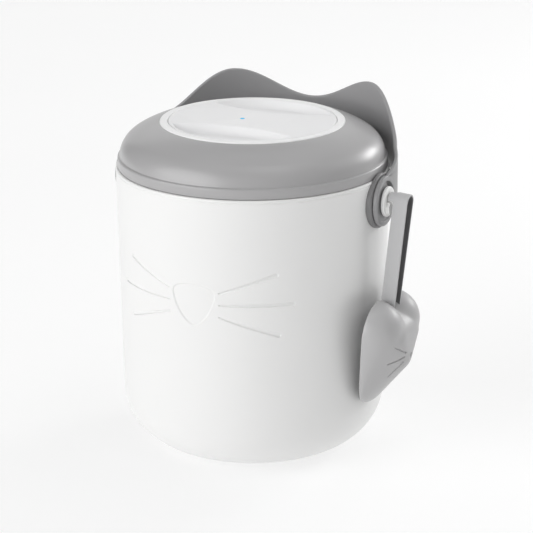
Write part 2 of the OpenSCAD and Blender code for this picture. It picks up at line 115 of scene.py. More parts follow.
class Nodes:
    """A short way to write a material's node tree."""

    def __init__(self, name):
        self.material = bpy.data.materials.new(name)
        self.material.use_nodes = True
        self.tree = self.material.node_tree
        self.shader = self.tree.nodes["Principled BSDF"]
        self.place = self.add("ShaderNodeTexCoord").outputs["Object"]

    def add(self, kind, links=None, **settings):
        node = self.tree.nodes.new(kind)
        for key, value in settings.items():
            if key in node.inputs:
                node.inputs[key].default_value = value
            else:
                setattr(node, key, value)
        for key, source in (links or {}).items():
            self.tree.links.new(source, node.inputs[key])
        return node

    def noise(self, scale, detail=3.0, stretch=(1, 1, 1), roughness=0.5):
        """Noise whose features are about 1 / scale metres across."""
        place = self.place
        if stretch != (1, 1, 1):
            place = self.add("ShaderNodeMapping", {"Vector": place}, Scale=stretch).outputs[0]
        return self.add("ShaderNodeTexNoise", {"Vector": place}, Scale=scale, Detail=detail,
                        Roughness=roughness).outputs["Fac"]

    def ramp(self, source, stops):
        node = self.add("ShaderNodeValToRGB", {"Fac": source})
        marks = node.color_ramp.elements
        while len(marks) < len(stops):
            marks.new(0.5)
        for mark, (at, colour) in zip(marks, stops):
            mark.position = at
            mark.color = (*colour, 1)
        return node.outputs["Color"]

    def mix(self, amount, a, b):
        node = self.add("ShaderNodeMix", data_type="RGBA", blend_type="MIX")
        for socket, value in ((0, amount), (6, a), (7, b)):
            if isinstance(value, bpy.types.NodeSocket):
                self.tree.links.new(value, node.inputs[socket])
            else:
                node.inputs[socket].default_value = value
        return node.outputs[2]

    def remap(self, source, low, high, from_low=0.0, from_high=1.0):
        node = self.add("ShaderNodeMapRange", {"Value": source})
        for i, value in enumerate((from_low, from_high, low, high)):
            node.inputs[i + 1].default_value = value
        return node.outputs[0]

    def to_shader(self, name, source):
        self.tree.links.new(source, self.shader.inputs[name])

    def bump(self, height, distance):
        node = self.add("ShaderNodeBump", {"Height": height}, Distance=distance, Strength=1.0)
        self.to_shader("Normal", node.outputs[0])


def shade(colour, factor):
    return tuple(min(1.0, c * factor) for c in colour)


def base_colour(slot):
    return tuple(SLOTS[slot]["base_color"][:3])


def plastic(slot, rough=0.4, grain=0.00004, grain_scale=2600, mottle=0.025, coat=0.0):
    """Moulded plastic or rubber: faint flow mottle, fine moulded grain, rubbed edges."""
    wear, rough_spread = 1.06, 0.015
    colour = base_colour(slot)
    n = Nodes(slot)
    cloud = n.noise(9, 4)
    body = n.ramp(cloud, [(0.3, shade(colour, 1 - mottle)), (0.7, shade(colour, 1 + mottle))])
    edge = n.add("ShaderNodeNewGeometry").outputs["Pointiness"]
    rubbed = n.remap(edge, 0.0, 1.0, 0.53, 0.62)
    n.to_shader("Base Color", n.mix(rubbed, body, (*shade(colour, wear), 1)))
    n.to_shader("Roughness", n.remap(n.noise(45, 3), rough - rough_spread, rough + rough_spread,
                                   0.3, 0.7))
    n.bump(n.noise(grain_scale, 4, roughness=0.65), grain)
    n.shader.inputs["Coat Weight"].default_value = coat
    n.shader.inputs["Coat Roughness"].default_value = 0.18
    return n.material


def metal(slot, rough=0.3):
    """Turned or plated metal with fine drawn lines."""
    colour = base_colour(slot)
    n = Nodes(slot)
    lines = n.noise(700, 3, stretch=(0.08, 1, 1))
    stops = [(0.25, shade(colour, 0.86)), (0.75, shade(colour, 1.08))]
    n.to_shader("Base Color", n.ramp(lines, stops))
    n.to_shader("Roughness", n.remap(lines, rough - 0.08, rough + 0.1, 0.3, 0.7))
    n.bump(lines, 0.00003)
    n.shader.inputs["Metallic"].default_value = 1.0
    return n.material


def felt(slot):
    """Pressed fibre."""
    colour = base_colour(slot)
    n = Nodes(slot)
    fibre = n.noise(1800, 6, roughness=0.75)
    n.to_shader("Base Color", n.ramp(fibre, [(0.3, shade(colour, 0.8)), (0.7, shade(colour, 1.1))]))
    n.bump(fibre, 0.0004)
    n.shader.inputs["Roughness"].default_value = 0.95
    return n.material


def board(slot):
    """Solder mask with traces on a fine grid."""
    colour = base_colour(slot)
    n = Nodes(slot)
    brick = n.add("ShaderNodeTexBrick", {"Vector": n.place}, Scale=260.0)
    brick.inputs["Color1"].default_value = (*colour, 1)
    brick.inputs["Color2"].default_value = (*shade(colour, 0.85), 1)
    brick.inputs["Mortar"].default_value = (*shade(colour, 1.7), 1)
    brick.inputs["Mortar Size"].default_value = 0.06
    n.to_shader("Base Color", brick.outputs["Color"])
    n.to_shader("Roughness", n.remap(n.noise(300, 3), 0.2, 0.35))
    n.bump(brick.outputs["Fac"], 0.00005)
    return n.material


def lamp(slot):
    """Blue plastic that glows a little."""
    n = Nodes(slot)
    glow = n.ramp(n.noise(500, 2), [(0.3, (0.01, 0.34, 0.60)), (0.7, (0.02, 0.42, 0.70))])
    n.to_shader("Base Color", glow)
    n.to_shader("Emission Color", glow)
    n.shader.inputs["Emission Strength"].default_value = 0.3
    n.to_shader("Roughness", n.remap(n.noise(900, 2), 0.45, 0.55))
    n.shader.inputs["Specular IOR Level"].default_value = 0.1
    return n.material


SLOTS = {m["slot"]: m for m in frame["record"]["materials"]}
MATERIALS = {
    "bin_white": plastic("bin_white", 0.34, mottle=0.008, coat=0.15),
    "lid_grey": plastic("lid_grey", 0.31, mottle=0.012, coat=0.1),
    "panel_white": plastic("panel_white", 0.5, mottle=0.01),
    "ring_white": plastic("ring_white", 0.4, mottle=0.01),
    "handle_grey": plastic("handle_grey", 0.42, mottle=0.015),
    "boss_grey": plastic("boss_grey", 0.45),
    "peg_white": plastic("peg_white", 0.4, mottle=0.01),
    "scoop_grey": plastic("scoop_grey", 0.4, mottle=0.012),
    "strap_grey": plastic("strap_grey", 0.62, grain=0.00008, grain_scale=1500, mottle=0.02),
    "lining_dark": plastic("lining_dark", 0.7, grain=0.0001, grain_scale=1400, mottle=0.06),
    "pad_dark": plastic("pad_dark", 0.75, grain=0.00015, grain_scale=1200, mottle=0.08),
    "gasket_clear": plastic("gasket_clear", 0.4, mottle=0.03),
    "brass": metal("brass", 0.28),
    "steel": metal("steel", 0.3),
    "black_plastic": plastic("black_plastic", 0.5, mottle=0.1),
    "cell_wrap": plastic("cell_wrap", 0.25, grain=0.00002, mottle=0.05),
    "board_green": board("board_green"),
    "hose_clear": plastic("hose_clear", 0.35, mottle=0.04),
    "valve_orange": plastic("valve_orange", 0.5, mottle=0.05),
    "filter_white": felt("filter_white"),
    "light_blue": lamp("light_blue"),
}


# ---------------------------------------------------------------- mesh building


def piece(name, points, faces, slot, stands_for, sharp=40, rides=True):
    """A smooth-shaded mesh that replaces CAD nodes, takes their body, and is sharp past an angle."""
    mesh = bpy.data.meshes.new(name)
    mesh.from_pydata([tuple(MM * c for c in p) for p in points], [], faces)
    work = bmesh.new()
    work.from_mesh(mesh)
    bmesh.ops.remove_doubles(work, verts=work.verts, dist=1e-7)
    bmesh.ops.recalc_face_normals(work, faces=work.faces)
    work.to_mesh(mesh)
    work.free()
    mesh.polygons.foreach_set("use_smooth", [True] * len(mesh.polygons))
    mesh.set_sharp_from_angle(angle=radians(sharp))
    mesh.materials.append(MATERIALS[slot])
    obj = bpy.data.objects.new(name, mesh)
    bpy.context.scene.collection.objects.link(obj)
    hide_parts(*stands_for)
    if rides:
        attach(obj, BODY_OF[stands_for[0]])
    return obj


def join(*parts):
    """Points and faces of several (points, faces) pairs as one."""
    points, faces = [], []
    for new_points, new_faces in parts:
        faces += [[i + len(points) for i in face] for face in new_faces]
        points += [tuple(p) for p in new_points]
    return points, faces


def rounded(corners, steps=6):
    """An outline through (x, y, radius) corners, each one rounded by an arc of its radius."""
    outline = []
    count = len(corners)
    for i, (x, y, r) in enumerate(corners):
        here = np.array([x, y], float)
        if r == 0:
            outline.append((x, y))
            continue
        before = np.array(corners[i - 1][:2], float) - here
        after = np.array(corners[(i + 1) % count][:2], float) - here
        before /= np.linalg.norm(before)
        after /= np.linalg.norm(after)
        half = acos(np.clip(before @ after, -1, 1)) / 2
        back = r / tan(half)
        middle = before + after
        centre = here + middle / np.linalg.norm(middle) * r / sin(half)
        first, last = here + before * back - centre, here + after * back - centre
        turn = atan2(first[0] * last[1] - first[1] * last[0], first @ last)
        count_arc = max(steps, int(abs(r * turn) / 3))
        for k in range(count_arc + 1):
            a = turn * k / count_arc
            outline.append(tuple(centre + (first[0] * cos(a) - first[1] * sin(a),
                                           first[0] * sin(a) + first[1] * cos(a))))
    return outline


def refine(outline, longest):
    """The same closed outline with no stretch longer than that."""
    fine = []
    for (x0, y0), (x1, y1) in zip(outline, outline[1:] + outline[:1]):
        pieces = max(1, int(np.ceil(sqrt((x1 - x0) ** 2 + (y1 - y0) ** 2) / longest)))
        fine += [(x0 + (x1 - x0) * k / pieces, y0 + (y1 - y0) * k / pieces) for k in range(pieces)]
    return fine


def loft(rings, closed=True, start_point=None, end_point=None):
    """Joins rings of equal count into a skin. A closed loft also joins the last ring to the first."""
    n = len(rings[0])
    points = [p for ring in rings for p in ring]
    faces = []
    for i in range(len(rings) if closed else len(rings) - 1):
        j = (i + 1) % len(rings)
        faces += [[i * n + k, i * n + (k + 1) % n, j * n + (k + 1) % n, j * n + k] for k in range(n)]
    for centre, ring in ((start_point, 0), (end_point, len(rings) - 1)):
        if centre is not None:
            points.append(centre)
            last = len(points) - 1
            faces += [[ring * n + k, ring * n + (k + 1) % n, last] for k in range(n)]
    return points, faces


def lathe(outline, steps=120, axis="Z", angles=None):
    """A closed (radius, height) outline turned about an axis. Points on the axis become one."""
    angles = angles or [2 * pi * k / steps for k in range(steps)]
    rings = []
    for r, h in outline:
        if axis == "Z":
            rings.append([(r * cos(a), r * sin(a), h) for a in angles])
        else:
            rings.append([(h, r * cos(a), r * sin(a)) for a in angles])
    points, faces = loft(rings)
    return points, [f for f in faces if not on_axis(points, f, axis)]


def on_axis(points, face, axis):
    across = (0, 1) if axis == "Z" else (1, 2)
    return all(abs(points[i][across[0]]) + abs(points[i][across[1]]) < 1e-6 for i in face)


def shifted(part, offset=(0, 0, 0), mirror_x=False):
    points, faces = part
    flip = -1 if mirror_x else 1
    return [(flip * (x + offset[0]), y + offset[1], z + offset[2]) for x, y, z in points], faces


def smoothstep(low, high, value):
    t = min(1.0, max(0.0, (value - low) / (high - low)))
    return t * t * (3 - 2 * t)


def soft_max(values, width):
    """The greatest of the values, raised where others come within about width of it."""
    top = max(values)
    return top + width * log(sum(exp((v - top) / width) for v in values))


def segment_distance(p, a, b):
    """Distance from p to the line from a to b, and how far along it the nearest point is (0 to 1)."""
    ax, ay = a
    dx, dy = b[0] - ax, b[1] - ay
    t = min(1.0, max(0.0, ((p[0] - ax) * dx + (p[1] - ay) * dy) / (dx * dx + dy * dy)))
    return sqrt((p[0] - ax - t * dx) ** 2 + (p[1] - ay - t * dy) ** 2), t


def node_box(node):
    low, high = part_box(node)
    return low / MM, high / MM


BODY_OF = {n: b for b, nodes in frame["record"]["behaviour"]["bodies"].items() for n in nodes}


# ---------------------------------------------------------------- tub

tub_low, tub_high = node_box("bin_shell")
pad_high = node_box("base_pad")[1]
TUB_TOP = tub_high.z
TUB_RIM_R = tub_high.x
WALL = 3.0
DRAFT = 0.0165
BASE_ROUND = 49.9
NOSE_DEPTH = 0.9
WHISKER_DEPTH = 0.9
WHISKER_HALF, WHISKER_FLARE = 0.9, 0.9
INSERT_R, INSERT_START = 3.55, 109.6
PIVOT_PAD_R, PIVOT_PAD_START = 9, 106
# each whisker: (angle, height) of its near end and of its far end, from the middle of the face
WHISKERS = [((11.5, 166.8), (35, 182.9)), ((11.5, 156.6), (42, 157.3)),
            ((11.5, 146.0), (36, 130.8))]
# the nose lies inside three circles: centre across, centre height, radius
NOSE_CIRCLES = [(0, 123.2, 50), (21.5, 170.8, 42), (-21.5, 170.8, 42)]


def tub_radius(z):
    return TUB_RIM_R - (TUB_TOP - z) * DRAFT


def nose_distance(across, height, circles, softness):
    """Below zero inside the nose, with its corners rounded."""
    gaps = [sqrt((across - x) ** 2 + (height - z) ** 2) - r for x, z, r in circles]
    return soft_max(gaps, softness)


def face_depth(angle, z):
    """How deep the tub's face is cut at an angle (degrees from -Y) and height."""
    radius = tub_radius(z)
    across = radians(angle) * radius
    depth = NOSE_DEPTH * smoothstep(0, 1.1, -nose_distance(across, z, NOSE_CIRCLES, 2.2))
    for near, far in WHISKERS:
        a = (radians(near[0]) * radius, near[1])
        b = (radians(far[0]) * radius, far[1])
        gap, along = segment_distance((abs(across), z), a, b)
        half = WHISKER_HALF + WHISKER_FLARE * along
        depth = max(depth, WHISKER_DEPTH * smoothstep(0, 0.6, half - gap))
    return depth


def make_tub():
    base_z = tub_low.z
    wall_at_base = tub_radius(base_z)
    inner = tub_radius(base_z + WALL) - WALL
    pocket_r = pad_high.x + 0.2
    line = TUB_TOP - 2.7  # a fine line runs round the tub under its rim
    outer = [(0, pad_high.z, 0), (pocket_r, pad_high.z, 0.3), (pocket_r, base_z, 0.5),
             (wall_at_base, base_z, BASE_ROUND),
             (tub_radius(line - 0.5), line - 0.5, 0.3), (tub_radius(line) - 0.35, line, 0.2),
             (tub_radius(line + 0.5), line + 0.5, 0.3),
             (TUB_RIM_R, TUB_TOP, 1.4), (TUB_RIM_R - WALL, TUB_TOP, 0.7),
             (inner, base_z + WALL, BASE_ROUND - WALL), (0, base_z + WALL, 0)]
    outline = refine(rounded(outer), 12)
    # rows and columns close enough to carry the engraving
    low, high, row = 126.0, 188.0, 0.45
    face_half, column = 46, 0.25
    rows = [low + row * k for k in range(int((high - low) / row) + 1)]
    cut = next(i for i, (r, z) in enumerate(outline) if z > low and r > 110)
    end = next(i for i, (r, z) in enumerate(outline) if z > high and i > cut)
    outline[cut:end] = [(tub_radius(z), z) for z in rows]
    face_angles = [-face_half + column * k for k in range(int(2 * face_half / column) + 1)]
    other = [face_half + (360 - 2 * face_half) * k / 90 for k in range(1, 90)]
    angles = [radians(a - 90) for a in face_angles + other]
    points, faces = lathe(outline, angles=angles)
    count = len(angles)
    for i in range(cut, cut + len(rows)):
        for k, angle in enumerate(face_angles):
            depth = face_depth(angle, outline[i][1])
            if depth > 0:
                x, y, z = points[i * count + k]
                scale = 1 - depth / tub_radius(z)
                points[i * count + k] = (x * scale, y * scale, z)
    # the round pads inside the wall that hold the pivots' inserts
    in_wall = 114.6
    pad = lathe(rounded([(0, PIVOT_PAD_START, 0), (PIVOT_PAD_R, PIVOT_PAD_START, 1.0),
                         (PIVOT_PAD_R, in_wall, 0), (INSERT_R, in_wall, 0),
                         (INSERT_R, INSERT_START, 0), (0, INSERT_START, 0)]), 64, "X")
    screw_low, screw_high = node_box("pivot_screws")
    height = (0, 0, (screw_low.z + screw_high.z) / 2)
    tub = join((points, faces), shifted(pad, height), shifted(pad, height, True))
    piece("tub", *tub, "bin_white", ["bin_shell"])


make_tub()


# ---------------------------------------------------------------- lid

lid_low, lid_high = node_box("lid_shell")
ring_low, ring_high = node_box("panel_ring")
LID_R = lid_high.x
RIM_LOW = TUB_TOP + 0.3
RIM_TOP = RIM_LOW + 9.2
RIM_WALL = 4
RING_R = ring_high.x
PANEL_TOP = node_box("press_panel")[1].z
PANEL_R = RING_R - 7.3
SEAT_R, SEAT_T = 73.5, 2
POST_R, POST_H, POST_RING = 4, 26, 100
DOME_R_LOW = 24.0
DOME_R_TOP = 75.0
DOME_BACK, DOME_DROP = 25.57, 2.2  # middle of the tight arc, in from the rim and below its top
BLEND = radians(57.64)
LID_WALL = 2.6


def dome_arc(inset, start, end_r):
    """The dome's two arcs as (radius, height), from an angle above the horizontal to a radius."""
    low_c = np.array([LID_R - DOME_BACK, RIM_TOP - DOME_DROP])
    top_c = low_c - (DOME_R_TOP - DOME_R_LOW) * np.array([cos(BLEND), sin(BLEND)])
    arc = [low_c + (DOME_R_LOW - inset) * np.array([cos(a), sin(a)])
           for a in np.linspace(start, BLEND, 26)[:-1]]
    last = acos((end_r - top_c[0]) / (DOME_R_TOP - inset))
    arc += [top_c + (DOME_R_TOP - inset) * np.array([cos(a), sin(a)])
            for a in np.linspace(BLEND, last, 14)]
    return [tuple(p) for p in arc]


def make_lid():
    opening = RING_R + 0.2
    seat_z = ring_low.z - SEAT_T
    dome = dome_arc(0, radians(8), opening)
    foot = dome[0]
    lip = rounded([(LID_R - RIM_WALL, RIM_LOW, 0.4), (LID_R, RIM_LOW, 0.5),
                   (LID_R, RIM_TOP - 0.1, 2.0), (foot[0] + 0.35, RIM_TOP - 0.1, 0.3),
                   (foot[0] + 0.2, foot[1] - 0.9, 0.35), (foot[0] - 0.3, foot[1] + 0.3, 0)])
    seat = [(opening, ring_low.z), (SEAT_R, ring_low.z), (SEAT_R, seat_z), (opening + 2.2, seat_z)]
    inside = [p for p in reversed(dome_arc(LID_WALL, radians(2), opening + 3)) if p[1] < seat_z]
    outline = lip[:-1] + dome + seat + inside + [(LID_R - RIM_WALL, inside[-1][1])]
    post = lathe([(0, lid_low.z), (POST_R, lid_low.z), (POST_R, lid_low.z + POST_H),
                  (0, lid_low.z + POST_H)], 24)
    angles = [radians(45 + 90 * k) for k in range(4)]
    posts = [shifted(post, (POST_RING * cos(a), POST_RING * sin(a), 0)) for a in angles]
    piece("lid_dome", *join(lathe(outline, 180), *posts), "lid_grey", ["lid_shell"])


def make_panel_ring():
    inner = PANEL_R + 0.4
    outline = rounded([(inner, ring_low.z, 0), (RING_R, ring_low.z, 0), (RING_R, PANEL_TOP, 1.3),
                       (inner, PANEL_TOP, 0.7)])
    piece("panel_ring_soft", *lathe(outline, 180), "ring_white", ["panel_ring"])


make_lid()
make_panel_ring()


# ---------------------------------------------------------------- press panel

RECESS_R = 69.5
GRIP_HALF = 27.3
GRIP_R = 124.3
RECESS_DEPTH = 7.2
RECESS_MIDDLE = (GRIP_HALF + RECESS_R) / 2
TIP_R = 3.0
PANEL_T, POCKET_WALL = 3.5, 1.6
PLUNGER_R, PLUNGER_Y, PLUNGER_LOW = 3, -5, 273.3
HOOK_ANGLES, HOOK_LOW, HOOK_TOP, HOOK_HALF = (-22, 22, 158, 202), 274.4, 276.6, 4
window_low, window_high = node_box("light_window")


def lens_ring(inset, steps=40):
    """Outline of a finger recess, set in by inset. Its two tips have radius TIP_R - inset."""
    shrink = max(inset, TIP_R)
    big, small, away = RECESS_R - shrink, GRIP_R - shrink, GRIP_HALF + GRIP_R
    # where the two shrunk circles meet
    tip_y = (big ** 2 - small ** 2 + away ** 2) / (2 * away)
    tip_x = sqrt(big ** 2 - tip_y ** 2)
    rim_half = atan2(tip_x, tip_y)
    bar_half = asin(tip_x / small)
    tip_r = max(TIP_R - inset, 0)
    ring = []
    for k in range(steps):  # along the rim, from +X to -X
        a = rim_half - 2 * rim_half * k / (steps - 1)
        ring.append(((big + tip_r) * sin(a), (big + tip_r) * cos(a)))
    turn = pi - rim_half - bar_half
    tip_steps = 10
    for k in range(1, tip_steps):
        a = -rim_half - turn * k / tip_steps
        ring.append((-tip_x + tip_r * sin(a), tip_y + tip_r * cos(a)))
    for k in range(steps):
        a = -bar_half + 2 * bar_half * k / (steps - 1)
        ring.append(((small + tip_r) * sin(a), away - (small + tip_r) * cos(a)))
    for k in range(1, tip_steps):
        a = pi - bar_half - turn * k / tip_steps
        ring.append((tip_x + tip_r * sin(a), tip_y + tip_r * cos(a)))
    return ring


def recess_drop(inset):
    """Depth of the recess floor at a distance in from its edge: a soft shoulder and a soft foot."""
    return RECESS_DEPTH * smoothstep(-0.6, 6.2, inset) ** 0.85


def filled(rings):
    """A flat face inside the first ring, with the other rings as its holes."""
    work = bmesh.new()
    for ring in rings:
        verts = [work.verts.new(p) for p in ring]
        for i, v in enumerate(verts):
            work.edges.new((v, verts[(i + 1) % len(verts)]))
    bmesh.ops.triangle_fill(work, edges=work.edges[:], use_beauty=True, use_dissolve=False)
    work.verts.index_update()
    part = [tuple(v.co) for v in work.verts], [[v.index for v in f.verts] for f in work.faces]
    work.free()
    return part


def circle_ring(radius, z, middle=(0, 0), steps=160):
    angles = [2 * pi * k / steps for k in range(steps)]
    return [(middle[0] + radius * cos(a), middle[1] + radius * sin(a), z) for a in angles]


def both_ways(ring):
    """The ring, and the ring turned half round."""
    return [[(flip * x, flip * y, z) for x, y, z in ring] for flip in (1, -1)]


def panel_hook(angle, x0, x1, z0, z1):
    """A block on the panel's underside, from one distance out to another."""
    outline = rounded([(x0, z0, 0.4), (x1, z0, 0.4), (x1, z1, 0.4), (x0, z1, 0.4)], 3)
    c, s = cos(radians(angle)), sin(radians(angle))
    rings = [[(x * c - y * s, x * s + y * c, z) for x, z in outline]
             for y in (-HOOK_HALF, HOOK_HALF)]
    points, faces = loft(rings, closed=False)
    n = len(outline)
    return points, faces + [list(range(n)), list(range(n, 2 * n))]


def make_panel():
    """A disc with two deep recesses, the bore of the light, a plunger and four hooks."""
    top, low = PANEL_TOP, PANEL_TOP - PANEL_T
    window_r = 2.15
    middle = ((window_low.x + window_high.x) / 2, (window_low.y + window_high.y) / 2)
    edge = rounded([(0, low, 0), (PANEL_R, low, 0.2), (PANEL_R, top, 0.8), (0, top, 0)])[1:-1]
    parts = [loft([circle_ring(r, h) for r, h in edge], closed=False)]
    lens_top = []
    for inset in (0, 0.15, 0.4, 0.8, 1.3, 1.9, 2.6, 3.4, 4.2, 5.0, 5.8, 6.4, 8, 10.5, 13):
        drop = recess_drop(inset) - recess_drop(0) * (1 - smoothstep(0, 1.5, inset))
        lens_top.append([(x, y, top - drop) for x, y in lens_ring(inset)])
    lens_low = [(x, y, low) for x, y in lens_ring(0)]
    parts.append(filled([circle_ring(edge[-1][0], top), *both_ways(lens_top[0]),
                         circle_ring(window_r, top, middle, 20)]))
    bore = lathe([(window_r, low), (window_r, top)], 20)
    bore = (bore[0], bore[1][:20])
    parts.append(shifted(bore, (*middle, 0)))
    under_z = top - RECESS_DEPTH - POCKET_WALL
    for flip in (1, -1):
        rings = [[(flip * x, flip * y, z) for x, y, z in ring] for ring in lens_top]
        centre = (0, flip * RECESS_MIDDLE, rings[-1][0][2])
        inmost = [(x * 0.5, y * 0.5 + centre[1] * 0.5, z) for x, y, z in rings[-1]]
        bowl = join(loft(rings, closed=False),
                    loft([rings[-1], inmost], closed=False, end_point=centre))
        parts.append(bowl)
        skirt = [[(flip * x, flip * y, z) for x, y in lens_ring(0)] for z in (low, under_z)]
        parts.append(loft(skirt, closed=False, end_point=(0, flip * RECESS_MIDDLE, under_z)))
    parts.append(filled([circle_ring(edge[0][0], low), *both_ways(lens_low),
                         circle_ring(window_r, low, middle, 20)]))
    plunger = lathe([(0, PLUNGER_LOW), (PLUNGER_R, PLUNGER_LOW), (PLUNGER_R, low + 0.2),
                     (0, low + 0.2)], 24)
    parts.append(shifted(plunger, (0, PLUNGER_Y, 0)))
    for angle in HOOK_ANGLES:
        parts.append(panel_hook(angle, PANEL_R - 2.5, PANEL_R - 0.3, HOOK_LOW, low + 0.2))
        parts.append(panel_hook(angle, PANEL_R - 2.5, PANEL_R + 3.5, HOOK_LOW, HOOK_TOP))
    piece("press_panel_soft", *join(*parts), "panel_white", ["press_panel"], sharp=38)


make_panel()


def make_springs():
    """Four coil springs under the panel."""
    low, high = node_box("panel_springs")
    coil_r, wire, turns, sides = 2.9, 0.35, 6, 8
    steps = turns * 20
    around = [2 * pi * k / sides for k in range(sides)]
    springs = []
    for across, along in ((1, 1), (-1, 1), (1, -1), (-1, -1)):
        middle_x = across * (high.x - coil_r - wire)
        middle_y = along * (high.y - coil_r - wire)
        rings = []
        for i in range(steps + 1):
            a = 2 * pi * turns * i / steps
            z = low.z + wire + (high.z - low.z - 2 * wire) * i / steps
            rings.append([(middle_x + (coil_r + wire * cos(b)) * cos(a),
                           middle_y + (coil_r + wire * cos(b)) * sin(a), z + wire * sin(b))
                          for b in around])
        points, faces = loft(rings, closed=False)
        last = steps * sides
        faces += [list(range(sides)), list(range(last, last + sides))]
        springs.append((points, faces))
    obj = piece("springs_soft", *join(*springs), "steel", ["panel_springs"], rides=False)
    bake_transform(obj)


make_springs()


# ---------------------------------------------------------------- handle, bosses and hubs

handle_low, handle_high = node_box("handle")
boss_high = node_box("pivot_boss_right")[1]
peg_low, peg_high = node_box("hanger_peg")
PIVOT_Z = (peg_low.z + peg_high.z) / 2
LUG_OUT = handle_high.x
LUG_T, BAND_T = 3.6, 3.5
LUG_IN = LUG_OUT - LUG_T
LUG_R = PIVOT_Z - handle_low.z
BAND_OUT = handle_high.y
BAND_IN = BAND_OUT - BAND_T
EAR_H = handle_high.z - PIVOT_Z
VALLEY_H = 51.5
EAR_ANGLE, EAR_END = 33.5, 61.0
EAR_WAVE, EAR_WAVE_H = 34, 34.5
SLOPE_START, SLOPE, ARM_H = 42.7, 0.86, 18.9
BAND_LOW, BAND_FLAT, BAND_DROP = 18, 32, 24
BOSS_R = boss_high.z - PIVOT_Z
SHOULDER_BORE_R, STOP_R, STOP_RING = 3.05, 1.5, 16
PEG_R, PEG_LIFT, CRADLE_R = 4.0, 1.8, 8.6


def band_top(a):
    """Height of the band's top edge above the pivots, at an angle from the middle of the back."""
    if a < EAR_ANGLE:
        return VALLEY_H + (EAR_H - VALLEY_H) * (1 - cos(pi * a / EAR_ANGLE)) / 2
    if a < EAR_END:
        return EAR_H - EAR_WAVE_H * (1 - cos(pi * (a - EAR_ANGLE) / EAR_WAVE)) / 2
    return soft_max([SLOPE_START - SLOPE * (a - EAR_END), ARM_H], 2.0)


def band_low(a):
    """Height of the band's bottom edge there: level at the back, then down to the lugs."""
    if a < BAND_FLAT:
        return BAND_LOW
    return BAND_LOW - BAND_DROP * (1 - cos(pi * (a - BAND_FLAT) / (90 - BAND_FLAT))) / 2


def band_point(a, z, radius, face_x):
    """A point of the band at an angle from the back. Its ends flatten into the lugs' plane."""
    x, y = radius * sin(radians(a)), radius * cos(radians(a))
    flat = 1 - smoothstep(14, 46, y)
    return x + (face_x - x) * flat, y, z


def lug_reach(z):
    """The angle where a row of the band at this height ends, inside the lug's ring."""
    reach = LUG_R - 1.8
    y = sqrt(max(0.0, reach ** 2 - z ** 2))
    return degrees(acos(min(1.0, y / BAND_OUT)))


def make_handle():
    columns, edge = 90, 1.3
    rings = []
    for k in range(-columns, columns + 1):
        share = abs(k) / columns
        side = 1 if k >= 0 else -1
        ring = []
        for through, up, drop in band_section(edge):
            a = share * 90
            for _ in range(4):
                low = band_low(a)
                z = low + (band_top(a) - low - 2 * edge) * up + edge - drop
                a = share * lug_reach(z)
            face_x = LUG_IN + 0.15 + through * (3.3 / BAND_T)
            x, y, z = band_point(a, z, BAND_IN + through, face_x)
            ring.append((side * x, y, PIVOT_Z + z))
        rings.append(ring)
    n = len(rings[0])
    points, faces = loft(rings, closed=False)
    last = (len(rings) - 1) * n
    faces += [list(range(n)), list(range(last, last + n))]
    lug = lathe(rounded([(SHOULDER_BORE_R, LUG_IN, 0.2), (LUG_R, LUG_IN, 0.8),
                         (LUG_R, LUG_OUT, 1.1), (LUG_R - 4, LUG_OUT, 0.9),
                         (LUG_R - 4.4, LUG_OUT - 1.2, 0.4),
                         (SHOULDER_BORE_R, LUG_OUT - 1.2, 0.2)]), 96, "X")
    stop = lathe(rounded([(0, LUG_IN - 1.3, 0), (STOP_R, LUG_IN - 1.3, 0.3),
                          (STOP_R, LUG_IN + 0.5, 0), (0, LUG_IN + 0.5, 0)], 3), 24, "X")
    ends = []
    for mirrored in (False, True):
        ends.append(shifted(lug, (0, 0, PIVOT_Z), mirrored))
        ends.append(shifted(stop, (0, STOP_RING, PIVOT_Z), mirrored))
    piece("handle_soft", *join((points, faces), *ends), "handle_grey", ["handle"])


def band_section(edge):
    """The band's cross-section: distance out from the inner face, share of the height between the
    two rounded edges, and how far below that place the point lies."""
    thick = BAND_OUT - BAND_IN
    arc = [radians(18 * k) for k in range(1, 6)]
    side = [k / 24 for k in range(25)]
    rows = [(0.0, up, 0.0) for up in side]
    rows += [(edge * (1 - cos(a)), 1, -edge * sin(a)) for a in arc]
    rows += [(thick - edge * (1 - cos(a)), 1, -edge * sin(a)) for a in reversed(arc)]
    rows += [(thick, up, 0.0) for up in reversed(side)]
    rows += [(thick - edge * (1 - cos(a)), 0, edge * sin(a)) for a in arc]
    rows += [(edge * (1 - cos(a)), 0, edge * sin(a)) for a in reversed(arc)]
    return rows


def make_boss(name, node, mirrored):
    """The round that backs a lug. Its back follows the tub's wall, half a millimetre into it."""
    steps, dish, depth = 96, 0.6, 12
    face = boss_high.x
    outline = rounded([(0, face - dish, 0), (14, face - dish, 0.3), (14.4, face, 0.3),
                       (BOSS_R, face, 1.6), (BOSS_R, face - depth, 0), (0, face - depth, 0)])
    rings = []
    for r, x in outline:
        ring = []
        for k in range(steps):
            y, z = r * cos(2 * pi * k / steps), PIVOT_Z + r * sin(2 * pi * k / steps)
            wall = sqrt(tub_radius(min(z, TUB_TOP)) ** 2 - y * y) - 0.5
            ring.append((max(x, wall), y, z))
        rings.append(ring)
    points, faces = loft(rings)
    faces = [f for f in faces if not on_pivot(points, f)]
    piece(name, *shifted((points, faces), mirror_x=mirrored), "boss_grey", [node])


def on_pivot(points, face):
    return all(abs(points[i][1]) + abs(points[i][2] - PIVOT_Z) < 1e-6 for i in face)


def cradle_outline(r):
    """Outline of a U in the Y-Z plane, round the pivot, with its two top corners rounded."""
    below, above = 3.1, 0.8
    bowl = [(r * cos(a), r * sin(a) - below) for a in np.linspace(pi, 2 * pi, 40)]
    return bowl + rounded([(r, above, 0.6), (-r, above, 0.6), (0, -3, 0)], 4)[:-1]


